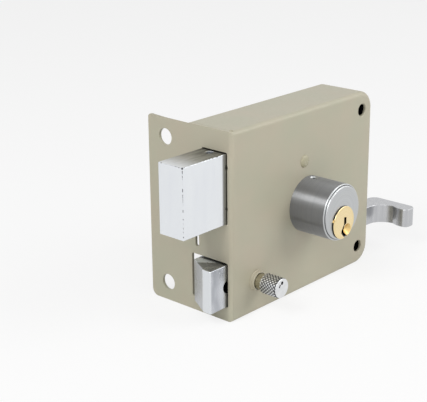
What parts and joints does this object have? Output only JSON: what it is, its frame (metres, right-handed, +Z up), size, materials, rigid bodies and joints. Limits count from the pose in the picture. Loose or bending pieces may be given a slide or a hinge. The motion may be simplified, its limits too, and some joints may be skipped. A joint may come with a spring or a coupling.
{
  "type": "rim box lock",
  "caption": "Surface-mounted box lock with a square dead bolt, a sprung bevel latch, a round key cylinder, a knurled hold-back knob and a side pull lever.",
  "frame": {"origin": "on the key plug's axis, in the plane of the door face that the case is screwed to", "axes": "+X along the case towards the pull lever, the bolts move out along -X; +Y from the room into the door; +Z up"},
  "size_m": [0.157, 0.0711, 0.088],
  "materials": {
    "painted_steel": "satin beige baked enamel on folded steel sheet",
    "bright_nickel": "bright nickel plate on a sharp-edged block, lightly marked",
    "turned_steel": "nickel-plated turned steel with a diamond knurl",
    "satin_stainless": "stainless tube, turned with fine rings",
    "satin_nickel": "satin nickel-plated zinc casting",
    "brass": "bright machined brass",
    "satin_chrome": "satin chrome-plated zinc casting",
    "zinc_plated_steel": "clear zinc-plated pressed and turned steel",
    "spring_steel": "oiled spring wire and strip"
  },
  "bodies": {
    "case": {"case_shell": "painted_steel", "back_plate": "painted_steel", "back_plate_screws": "zinc_plated_steel", "spacer_tubes": "zinc_plated_steel", "guide_post": "painted_steel", "latch_guide": "zinc_plated_steel", "latch_spring": "spring_steel", "detent_block": "zinc_plated_steel", "detent_spring": "spring_steel", "cylinder_sleeve": "satin_stainless", "cylinder_core": "satin_nickel", "cylinder_screws": "zinc_plated_steel", "set_screw": "zinc_plated_steel", "driver_pins": "brass", "pin_springs": "spring_steel", "knob_bush": "painted_steel", "snap_ring": "spring_steel"},
    "dead_bolt": {"bolt_head": "bright_nickel", "bolt_tail": "zinc_plated_steel", "bolt_rivets": "zinc_plated_steel", "saw_pin": "zinc_plated_steel"},
    "plug": {"key_plug": "brass", "key_pins": "brass", "drive_cam": "brass", "cam_clip": "spring_steel"},
    "latch": {"latch_head": "bright_nickel", "latch_bar": "zinc_plated_steel", "latch_cross_pin": "zinc_plated_steel", "pull_lever": "satin_chrome", "lever_cross_pin": "zinc_plated_steel", "retractor_stud": "zinc_plated_steel"},
    "latch_retractor": {"retractor": "zinc_plated_steel"},
    "holdback": {"holdback_knob": "turned_steel"}
  },
  "joints": [
    {"name": "bolt_throw", "type": "slide", "parent": "case", "child": "dead_bolt", "axis": [1, 0, 0], "range_m": [0, 0.02598], "deforming": ["detent_spring"]},
    {"name": "key_turn", "type": "hinge", "parent": "case", "child": "plug", "pos_m": [0, -0.025, 0], "axis": [0, 1, 0], "range_deg": [0, 120]},
    {"name": "latch_slide", "type": "slide", "parent": "case", "child": "latch", "axis": [1, 0, 0], "range_m": [0, 0.012], "stiffness_N_per_m": 400, "springref_m": -0.015, "deforming": ["latch_spring"]},
    {"name": "retractor_swing", "type": "hinge", "parent": "case", "child": "latch_retractor", "pos_m": [-0.0027, -0.0102, 0.0256], "axis": [0, 1, 0], "range_deg": [-11.05, 0]},
    {"name": "holdback_push", "type": "slide", "parent": "case", "child": "holdback", "axis": [0, 1, 0], "range_m": [0, 0.003], "deforming": ["snap_ring"]}
  ],
  "couplings": [
    {"joint": "key_turn", "follows": "bolt_throw", "rad_per_m": 80.6},
    {"joint": "retractor_swing", "follows": "latch_slide", "rad_per_m": -16}
  ]
}
